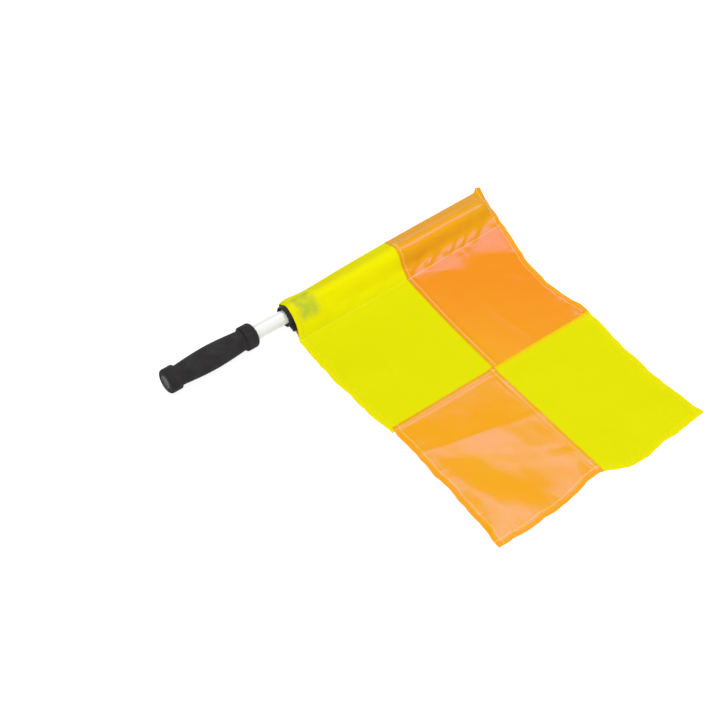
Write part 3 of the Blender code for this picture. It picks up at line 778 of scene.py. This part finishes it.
def painted_tape_shade(nodes):
    """Where the sleeve's near side is painted darker: painted shade of the dark loop tape inside the mouth,
    showing through.
    """
    shade_blotch = nodes.ramp(nodes.noise(85.0, 3.0, 0.6), 0.3, 0.62, 0.35, 1.0)
    start, end, y = BUTT_X + TAPE_X, BUTT_X + TAPE_END, PLACE.y
    for axis, low, high in (("X", start + 12 * MM, start + 21 * MM), ("X", end + 3 * MM, end - 8 * MM),
                            ("Y", y - 25 * MM, y - 17 * MM), ("Y", y + 14 * MM, y + 8 * MM)):
        shade_blotch = nodes.math("MULTIPLY", shade_blotch, nodes.ramp(nodes.along(axis), low, high))
    return shade_blotch


def cloth_look(name, pale_and_lit, deep_and_shaded, hem, shade_deepens, roughness, gloss, passes, glint):
    """Thin dyed polyester: a woven face that shines a little, and light that comes through it. Painted shade
    deepens the colour towards the tip, where the light falls off, and random mottle, which also stands in for
    the faint shading of wrinkles, varies it; the sleeve keeps little of either and so is painted paler, as if
    lit. The doubled cloth of a hem is duller."""
    nodes = material(name)
    # Painted shade: the colour deepens towards the tip, where the light falls off
    towards_shade = nodes.add("ShaderNodeVectorMath", nodes.place(), SHADE_HEADING,
                            settings={"operation": "DOT_PRODUCT"}).outputs["Value"]
    # Random mottle of tone, which also stands in for the faint shading of wrinkles
    mottle_and_wrinkle_shade = nodes.ramp(nodes.noise(9.0, 4.0, 0.55), 0.3, 0.7)
    tone_and_shade = nodes.math("MULTIPLY_ADD", mottle_and_wrinkle_shade, 0.25, nodes.ramp(towards_shade, *shade_deepens), clamp=True)
    # The sleeve keeps little of the painted shade and mottle, so it is painted paler, as if lit
    shade_off_sleeve = nodes.ramp(nodes.along("Y"), PLACE.y - 20 * MM, PLACE.y - 38 * MM, 0.15, 1.0)
    tint = nodes.blend(nodes.math("MULTIPLY", tone_and_shade, shade_off_sleeve), pale_and_lit, deep_and_shaded)
    # Painted shade where the loop tape lies under the sleeve
    tint = nodes.blend(painted_tape_shade(nodes), tint, TAPE_SHADE_TINT)
    hemmed = nodes.given("hemmed")
    # The hem's own colour, then painted show-through where orange cloth lies beneath the yellow at the cross
    # seam
    tint = nodes.blend(nodes.given("painted_show_through"), nodes.blend(hemmed, tint, hem), SHOW_THROUGH_TINT)
    normal = nodes.bump(weave(nodes), 0.02 * MM, 0.3)
    normal = nodes.bump(slubs(nodes), 0.06 * MM, 0.8, normal)
    uneven = nodes.ramp(nodes.noise(45.0), 0.25, 0.75, roughness - 0.04, roughness + 0.05)
    near_side = nodes.ramp(nodes.along("Y"), PLACE.y + 6 * MM, PLACE.y + 14 * MM, gloss, 0.12 * gloss)
    shine = nodes.math("MULTIPLY", near_side, nodes.ramp(hemmed, 0.0, 1.0, 1.0, 0.36))
    shine = nodes.math("MULTIPLY", shine, nodes.ramp(nodes.noise(520.0, 1.0), 0.3, 0.7, 0.8, 1.2))
    rough = nodes.math("MULTIPLY_ADD", hemmed, 0.2, uneven)
    face = nodes.add("ShaderNodeBsdfPrincipled", Base_Color=tint, Normal=normal, Roughness=rough, IOR=1.4,
                     Specular_IOR_Level=shine, Specular_Tint=(*glint, 1.0))
    behind = nodes.add("ShaderNodeBsdfTranslucent", Color=tint, Normal=normal)
    return nodes.finish(nodes.both(passes, face, behind))


def thread_look(name, colour):
    """Twisted sewing thread."""
    nodes = material(name)
    tint = nodes.blend(nodes.noise(700.0, 2.0), colour, tuple(0.86 * c for c in colour))
    twist = nodes.bump(nodes.noise(2600.0, 1.0), 0.04 * MM, 0.5)
    return nodes.finish_solid(Base_Color=tint, Roughness=0.45, Normal=twist, Specular_IOR_Level=0.1)


def foam_look():
    """Black closed-cell foam: a dull skin with fine pores and a few rubbed spots."""
    nodes = material("foam")
    rubbed = nodes.ramp(nodes.noise(60.0, 5.0, 0.6), 0.35, 0.7)
    tint = nodes.blend(rubbed, (0.010, 0.009, 0.0092), (0.018, 0.0165, 0.0165))
    rough = nodes.ramp(nodes.noise(90.0), 0.3, 0.7, 0.72, 0.9)
    pores = nodes.math("ADD", nodes.cells(1500.0), nodes.noise(260.0, 4.0, 0.6))
    return nodes.finish_solid(Base_Color=tint, Roughness=rough, Normal=nodes.bump(pores, 0.12 * MM, 0.6),
                              Specular_IOR_Level=0.25)


def tube_look():
    """White rigid plastic with a gloss, a faint draw line and light scuffs."""
    nodes = material("tube")
    tint = nodes.blend(nodes.noise(25.0), (0.70, 0.70, 0.67), (0.74, 0.74, 0.71))
    rough = nodes.ramp(nodes.noise(140.0, 4.0, 0.6), 0.4, 0.8, 0.2, 0.34)
    drawn = nodes.bump(nodes.noise(1.0, 2.0, stretch=(6.0, 400.0, 400.0)), 0.03 * MM, 0.3)
    return nodes.finish_solid(Base_Color=tint, Roughness=rough, Normal=drawn, Coat_Weight=0.25,
                              Coat_Roughness=0.12)


def plastic_look():
    """Black moulded plastic with a fine uneven skin."""
    nodes = material("moulded_plastic")
    tint = nodes.blend(nodes.noise(80.0), (0.022, 0.021, 0.021), (0.032, 0.030, 0.030))
    rough = nodes.ramp(nodes.noise(220.0), 0.3, 0.7, 0.38, 0.52)
    skin = nodes.bump(nodes.noise(900.0, 2.0), 0.03 * MM, 0.4)
    return nodes.finish_solid(Base_Color=tint, Roughness=rough, Normal=skin, Specular_IOR_Level=0.35)


def tape_look(name, spacing):
    """Hook or loop tape: a black napped face."""
    nodes = material(name)
    tint = nodes.blend(nodes.noise(300.0, 4.0, 0.65), (0.010, 0.009, 0.010), (0.024, 0.022, 0.024))
    nap = nodes.bump(nodes.cells(spacing), 0.25 * MM, 0.9)
    return nodes.finish_solid(Base_Color=tint, Roughness=0.88, Normal=nap, Specular_IOR_Level=0.15,
                              Sheen_Weight=0.1, Sheen_Roughness=0.5)


# Pole pieces, turned round the pole's axis

TURN_STEPS = 96
POLE_BUTT = AXIS_POINT - AXIS * ((AXIS_POINT.x - BUTT_X) / AXIS.x)
POLE_MATRIX = Matrix.Translation(POLE_BUTT) @ Matrix.Rotation(LEAN, 4, "Y")

# Half of the pinched tail's cross section, as (distance from the ring, half width) in millimetres
TAIL_HALF = ((0.0, 2.1), (2.5, 1.8), (6.0, 1.4), (9.0, 1.1), (10.1, 0.7), (10.5, 0.0))
TAIL_STEPS = 10


def corner(x, r, radius, start, end, steps=6):
    """Points of a rounded edge in a profile, between two angles in degrees."""
    angles = [math.radians(mix(start, end, i / steps)) for i in range(steps + 1)]
    return [(x + radius * math.cos(a), r + radius * math.sin(a)) for a in angles]


def mesh_of(bm, name):
    mesh = bpy.data.meshes.new(name)
    bm.to_mesh(mesh)
    bm.free()
    return mesh


def turned(name, profile, look, body, node, smooth_angle=40.0):
    """Spins a closed profile of (distance along the pole, radius) and seats it on the pole's axis."""
    bm = bmesh.new()
    verts = [bm.verts.new((x, 0.0, r)) for x, r in profile]
    edges = [bm.edges.new((a, b)) for a, b in zip(verts, verts[1:] + verts[:1])]
    bmesh.ops.spin(bm, geom=verts + edges, cent=(0, 0, 0), axis=(1, 0, 0), angle=math.tau,
                   steps=TURN_STEPS, use_merge=True)
    bmesh.ops.remove_doubles(bm, verts=bm.verts, dist=1e-7)
    bmesh.ops.recalc_face_normals(bm, faces=bm.faces)
    mesh = mesh_of(bm, name)
    mesh.transform(POLE_MATRIX)
    made = add_piece(name, mesh, look, body)
    mesh.set_sharp_from_angle(angle=math.radians(smooth_angle))
    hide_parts(node)
    return made


def tube_profile():
    """Tube between the plug's lip and the cap's end, with its edges broken."""
    start, end = PLUG_LIP + FIT_GAP, TIP_X - CAP_FACE - FIT_GAP
    bore, inner_edge, outer_edge = TUBE_RADIUS - TUBE_WALL, 0.2 * MM, 0.3 * MM
    outline = [(start, bore + inner_edge), (start + inner_edge, bore), (end, bore)]
    outline += [(end, TUBE_RADIUS - outer_edge), (end - outer_edge, TUBE_RADIUS)]
    outline += [(mix(end, start, i / 60), TUBE_RADIUS) for i in range(1, 60)]
    return outline + [(start + outer_edge, TUBE_RADIUS), (start, TUBE_RADIUS - outer_edge)]


def grip_profile():
    """Foam grip, with soft edges, a flare at each end and a swell between the two necks."""
    bore = TUBE_RADIUS + FIT_GAP
    low, high = FLARE_WIDTH, GRIP_LENGTH - FLARE_WIDTH
    outline = [(0.4 * MM, bore), (0.0, bore + 0.4 * MM)]
    outline += corner(3.5 * MM, FLARE_RADIUS - 3.5 * MM, 3.5 * MM, 180, 90)
    outline += corner(low - 1.3 * MM, FLARE_RADIUS - 1.3 * MM, 1.3 * MM, 90, 10, 4)
    outline += corner(low + 1.1 * MM, NECK_RADIUS + 1.2 * MM, MM, 190, 270, 4)
    for i in range(1, 40):
        swell = math.sin(math.pi * i / 40) ** 1.15
        outline.append((mix(low + 1.5 * MM, high - 2.4 * MM, i / 40), mix(NECK_RADIUS, BELLY_RADIUS, swell)))
    outline += corner(high - 1.4 * MM, NECK_RADIUS + MM, MM, 270, 350, 4)
    outline += corner(high + 1.2 * MM, FLARE_RADIUS - 1.6 * MM, 1.6 * MM, 170, 90, 4)
    outline += corner(GRIP_LENGTH - 5 * MM, FLARE_RADIUS - 5 * MM, 5 * MM, 90, 0, 8)
    return outline + [(GRIP_LENGTH, bore + 0.5 * MM), (GRIP_LENGTH - 0.5 * MM, bore)]


def plug_profile():
    """Plug in the tube's butt: a dished face, a lip on the tube's end and a hollow stem in its bore."""
    rim, stem = TUBE_RADIUS - 2 * MM, TUBE_RADIUS - TUBE_WALL - FIT_GAP
    taper, hollow = stem - 0.8 * MM, stem - PLUG_WALL
    outline = [(0.8 * MM, 0.0), (0.8 * MM, rim - 1.2 * MM), (0.6 * MM, rim - 0.7 * MM), (0.1 * MM, rim),
               (0.0, rim + 0.3 * MM)]
    outline += corner(0.8 * MM, TUBE_RADIUS - 0.8 * MM, 0.8 * MM, 180, 90, 5)
    outline += [(PLUG_LIP, TUBE_RADIUS), (PLUG_LIP, stem), (PLUG_LENGTH - 2.5 * MM, stem)]
    outline += [(PLUG_LENGTH, taper), (PLUG_LENGTH, hollow)]
    return outline + [(PLUG_LIP + 0.1 * MM, hollow), (PLUG_LIP + 0.1 * MM, 0.0)]


def cap_profile():
    """Cap over the tube's tip, with a rounded end."""
    start, face, inner = TIP_X - CAP_LENGTH, TIP_X - CAP_FACE, TUBE_RADIUS + FIT_GAP
    outline = [(face, 0.0), (face, inner), (start, inner), (start, CAP_RADIUS - 0.7 * MM)]
    outline += [(start + 2 * MM, CAP_RADIUS)]
    return outline + corner(TIP_X - CAP_EDGE, CAP_RADIUS - CAP_EDGE, CAP_EDGE, 90, 0, 8) + [(TIP_X, 0.0)]


def tape_profile(start, inner):
    """A ring of tape round the pole, with soft edges."""
    end, outer, soft = start + TAPE_WIDTH, inner + TAPE_THICKNESS, 0.5 * MM
    return [(start + soft, inner), (end - soft, inner), (end, inner + soft), (end, outer - soft),
            (end - soft, outer), (start + soft, outer), (start, outer - soft), (start, inner + soft)]


def make_pole():
    """Tube, grip, plug, cap and tapes."""
    plastic, hooks, loops = plastic_look(), tape_look("hook_tape", 800.0), tape_look("loop_tape", 1100.0)
    turned("white_tube", tube_profile(), tube_look(), "pole", "pole_tube")
    grip = turned("foam_hand_grip", grip_profile(), foam_look(), "pole", "foam_grip", 60.0)
    turned("end_plug", plug_profile(), plastic, "pole", "butt_plug")
    turned("end_cap", cap_profile(), plastic, "pole", "tip_cap")
    hook_ring, loop_ring = tape_profile(TAPE_X + TAPE_SHOWS, HOOK_INNER), tape_profile(TAPE_X, LOOP_INNER)
    turned("hook_tape", hook_ring, hooks, "pole", "hook_tape_ring")
    turned("loop_tape", loop_ring, loops, "tape_ring", "loop_tape_ring")
    make_tape_tail(loops)


def make_tape_tail(look):
    """The loop tape's two ends, pinched together beside the ring."""
    start = LOOP_OUTER + FIT_GAP
    outline = [(0.0, -TAIL_HALF[0][1]), *TAIL_HALF, *((y, -z) for y, z in TAIL_HALF[-2:0:-1])]
    bm = bmesh.new()
    rings = []
    for i in range(TAIL_STEPS + 1):
        x = mix(TAPE_X, TAPE_END, i / TAIL_STEPS)
        rings.append([bm.verts.new((x, -start - y * MM, z * MM)) for y, z in outline])
    for ring, following in zip(rings, rings[1:]):
        for a, b, c, d in zip(ring, ring[1:] + ring[:1], following[1:] + following[:1], following):
            bm.faces.new((a, b, c, d))
    bm.faces.new(rings[0])
    bm.faces.new(rings[-1][::-1])
    bmesh.ops.recalc_face_normals(bm, faces=bm.faces)
    mesh = mesh_of(bm, "loop_tape_ends")
    mesh.transform(POLE_MATRIX @ Matrix.Rotation(TAIL_TURN, 4, "X"))
    made = add_piece("loop_tape_ends", mesh, look, "flag")
    mesh.set_sharp_from_angle(angle=math.radians(50))
    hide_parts("loop_tape_tail")


def make_cloth():
    """The four checks and their stitches."""
    places, sections = sleeve_sections()
    # Each cloth's pale and deep colours are the two ends of its random mottle and of its painted shade
    looks = {
        "yellow": cloth_look("yellow_polyester", pale_and_lit=(0.91, 0.865, 0.002), deep_and_shaded=(0.80, 0.79, 0.002),
                             hem=(0.87, 0.815, 0.002), shade_deepens=(-200 * MM, -100 * MM), roughness=0.5,
                             gloss=0.03, passes=0.3, glint=(1.0, 1.0, 0.5)),
        "orange": cloth_look("orange_polyester", pale_and_lit=(0.965, 0.53, 0.002), deep_and_shaded=(0.96, 0.395, 0.002),
                             hem=(0.99, 0.50, 0.002), shade_deepens=(40 * MM, 210 * MM), roughness=0.17,
                             gloss=0.40, passes=0.42, glint=(0.15, 0.2, 1.0)),
    }
    checks, cloths = [], []
    for name, on_right, on_fly in (("yellow_hoist", False, False), ("orange_hoist", True, False),
                                   ("orange_fly", False, True), ("yellow_fly", True, True)):
        colour = name.split("_")[0]
        check = Check(colour, on_right, on_fly)
        check.points = points = fly_points(check) if on_fly else hoist_points(check, places, sections)
        check.normals = grid_normals(points)
        shares = {
            "hemmed": np.broadcast_to(1 - ease(check.outside, 4 * MM, 8 * MM), points.shape[:2]),
            "painted_show_through": np.zeros(points.shape[:2]),
        }
        if on_fly:
            inside = points[..., 1] - fly_edge_y(points[..., 0])
            shares["hemmed"] = np.maximum(shares["hemmed"], 1 - ease(inside, 4 * MM, 8 * MM))
        # The yellow fly's strip over the orange seam allowance is painted with the orange showing through
        if on_fly and on_right:
            shares["painted_show_through"] = 1 - ease(CROSS_Y - points[..., 1], 4.5 * MM, SEAM_ALLOWANCE)
        cloths.append(cloth_piece(name + "_cloth", points, shares, looks[colour],
                                  name + "_check"))
        checks.append(check)
    sew(checks)
    return cloths


# Light, table and camera

CAMERA_ELEVATION = math.radians(49.86)
CAMERA_AZIMUTH = math.radians(-37.14)
CAMERA_DISTANCE = 3.1668
CAMERA_TARGET = Vector((238.99 * MM, -108.50 * MM, 0.0))
CAMERA_LENS = 117.99
TABLE_SIZE = 5.0
TABLE_SPARE = 0.3 * MM
TABLE_LIT = 0.9
TABLE_SEEN = 0.32
TABLE_GLOW = 0.8
WORLD_GREY = 0.8
WORLD_LIGHT = 0.52
SHINE_ENDS = Vector((270 * MM, -388 * MM, 0.0))
SOFTBOX_HEIGHT = 3.0
SOFTBOX_WIDTH = 1.75
SOFTBOX_ASIDE = 0.38
SOFTBOX_DEPTH = 1.05
SOFTBOX_WATTS = 78.0
FILL_PLACE = Vector((-1.3, -1.5, 2.0))
FILL_SIZE = 1.8
FILL_WATTS = 50.0


def look_along(made, heading):
    made.rotation_mode = "QUATERNION"
    made.rotation_quaternion = heading.to_track_quat("-Z", "Y")


def make_camera():
    """The camera of the photo."""
    data = bpy.data.cameras.new("camera")
    data.lens = CAMERA_LENS
    data.sensor_width = 36.0
    data.clip_end = 50.0
    made = add_object("camera", data)
    level = math.cos(CAMERA_ELEVATION)
    back = Vector((math.sin(CAMERA_AZIMUTH) * level, -math.cos(CAMERA_AZIMUTH) * level,
                   math.sin(CAMERA_ELEVATION)))
    made.location = CAMERA_TARGET + PLACE + back * CAMERA_DISTANCE
    look_along(made, -back)
    bpy.context.scene.camera = made


def grey(level):
    return (level, level, level, 1.0)


def seen_directly(nodes):
    """1 for what the camera or a mirroring face shows, 0 for light that the table or the world gives."""
    path = nodes.add("ShaderNodeLightPath").outputs
    share = nodes.math("ADD", path["Is Camera Ray"], path["Is Glossy Ray"])
    share = nodes.math("ADD", share, path["Is Transmission Ray"])
    return nodes.math("SUBTRACT", share, path["Is Diffuse Ray"], clamp=True)


def make_table():
    """A table that shows as plain white and keeps some of the flag's shadow. From below it is clear."""
    bm = bmesh.new()
    bmesh.ops.create_grid(bm, x_segments=4, y_segments=4, size=TABLE_SIZE / 2)
    made = add_object("table", mesh_of(bm, "table"))
    nodes = material("white_table")
    lit = nodes.add("ShaderNodeBsdfDiffuse", Color=grey(TABLE_LIT))
    seen = nodes.add("ShaderNodeBsdfDiffuse", Color=grey(TABLE_SEEN))
    glow = nodes.add("ShaderNodeEmission", Color=grey(1.0), Strength=TABLE_GLOW)
    face = nodes.both(seen_directly(nodes), lit, nodes.add("ShaderNodeAddShader", seen, glow))
    path = nodes.add("ShaderNodeLightPath").outputs
    looks = nodes.math("ADD", path["Is Camera Ray"], path["Is Shadow Ray"])
    back = nodes.math("MULTIPLY", looks, nodes.add("ShaderNodeNewGeometry").outputs["Backfacing"])
    clear = nodes.add("ShaderNodeBsdfTransparent", Color=grey(1.0))
    made.data.materials.append(nodes.finish(nodes.both(back, face, clear)))
    return made


def keep_under(table, cloths):
    """Lays the table under the lowest cloth where the flag is turned or slid to below it."""
    group = bpy.data.node_groups.new("keep_under", "GeometryNodeTree")
    for way in ("INPUT", "OUTPUT"):
        group.interface.new_socket("Geometry", in_out=way, socket_type="NodeSocketGeometry")
    nodes = Nodes(group)
    joined = nodes.add("GeometryNodeJoinGeometry")
    for cloth in cloths:
        info = nodes.add("GeometryNodeObjectInfo", settings={"transform_space": "RELATIVE"}, Object=cloth)
        nodes.put(joined, 0, info.outputs["Geometry"])
    box = nodes.add("GeometryNodeBoundBox", joined)
    lowest = nodes.add("ShaderNodeSeparateXYZ", box.outputs["Min"]).outputs["Z"]
    dips = nodes.math("LESS_THAN", lowest, -TABLE_SPARE)
    drop = nodes.math("MULTIPLY", dips, nodes.math("SUBTRACT", lowest, TABLE_SPARE))
    move = nodes.add("ShaderNodeCombineXYZ", Z=drop)
    placed = nodes.add("GeometryNodeTransform", Geometry=nodes.add("NodeGroupInput"), Translation=move)
    nodes.add("NodeGroupOutput", placed)
    table.modifiers.new("keep_under", "NODES").node_group = group


def make_world():
    """Even light from all sides, behind which everything looks white."""
    world = bpy.data.worlds.new("studio")
    bpy.context.scene.world = world
    nodes = Nodes(world)
    light = nodes.add("ShaderNodeBackground", Color=grey(WORLD_GREY), Strength=WORLD_LIGHT)
    white = nodes.add("ShaderNodeBackground", Color=grey(1.0), Strength=1.0)
    nodes.add("ShaderNodeOutputWorld", Surface=nodes.both(seen_directly(nodes), light, white))


def area_light(name, width, depth, watts, location):
    data = bpy.data.lights.new(name, "AREA")
    data.shape = "RECTANGLE"
    data.size, data.size_y = width, depth
    data.energy = watts
    made = add_object(name, data)
    made.location = location
    return made


def make_lights():
    """A wide softbox overhead and a fill light. The softbox's far side is where flat cloth mirrors it up to
    SHINE_ENDS and no further."""
    spot = SHINE_ENDS + PLACE
    view = spot - bpy.context.scene.camera.location
    heading = Vector((view.x, view.y, 0.0))
    far_side = spot + heading * (SOFTBOX_HEIGHT / -view.z)
    heading.normalize()
    aside = Vector((heading.y, -heading.x, 0.0)) * SOFTBOX_ASIDE
    location = far_side - heading * (SOFTBOX_DEPTH / 2) + aside + Vector((0.0, 0.0, SOFTBOX_HEIGHT))
    softbox = area_light("softbox", SOFTBOX_WIDTH, SOFTBOX_DEPTH, SOFTBOX_WATTS, location)
    softbox.rotation_euler.z = math.atan2(-heading.x, heading.y)
    fill = area_light("fill", FILL_SIZE, FILL_SIZE, FILL_WATTS, FILL_PLACE)
    look_along(fill, -FILL_PLACE)


make_camera()
table = make_table()
make_world()
make_lights()
make_pole()
keep_under(table, make_cloth())
bpy.context.scene.view_settings.view_transform = "Standard"
